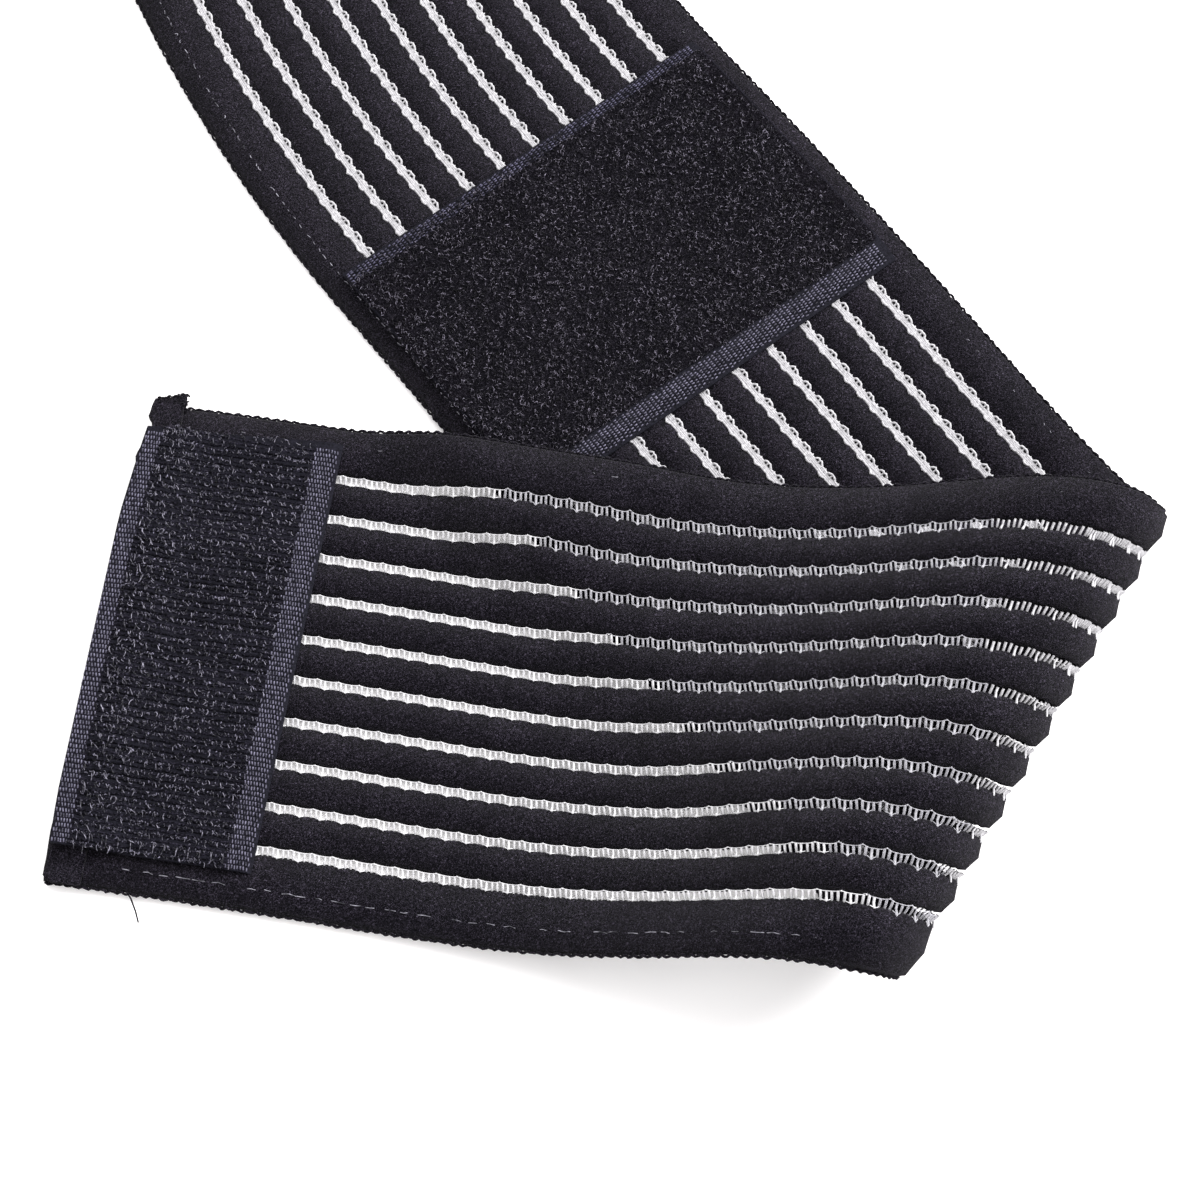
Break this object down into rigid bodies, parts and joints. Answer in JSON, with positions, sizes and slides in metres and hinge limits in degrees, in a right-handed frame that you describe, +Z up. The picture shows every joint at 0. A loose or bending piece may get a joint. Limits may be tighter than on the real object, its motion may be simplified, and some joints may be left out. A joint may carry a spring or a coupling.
{
  "type": "ankle support",
  "caption": "Elastic knitted ankle wrap band, laid folded over once, with a hook tape at its end and a loop pad on its other face.",
  "frame": {"origin": "middle of the bounding box in plan, on the surface the band lies on", "axes": "+Z up from the surface; +Y the way the lower run leads away from the fold; +X towards the fold"},
  "size_m": [0.1902, 0.2608, 0.0247],
  "materials": {
    "elastic_band": "matt ribbed elastic knit, black with white open stripes",
    "hook_tape": "woven tape with stiff hooks, slightly shiny",
    "loop_pad": "matt curly loop pile"
  },
  "bodies": {
    "root": {"elastic_band": "elastic_band", "hook_tape": "hook_tape", "loop_pad": "loop_pad"}
  },
  "joints": []
}
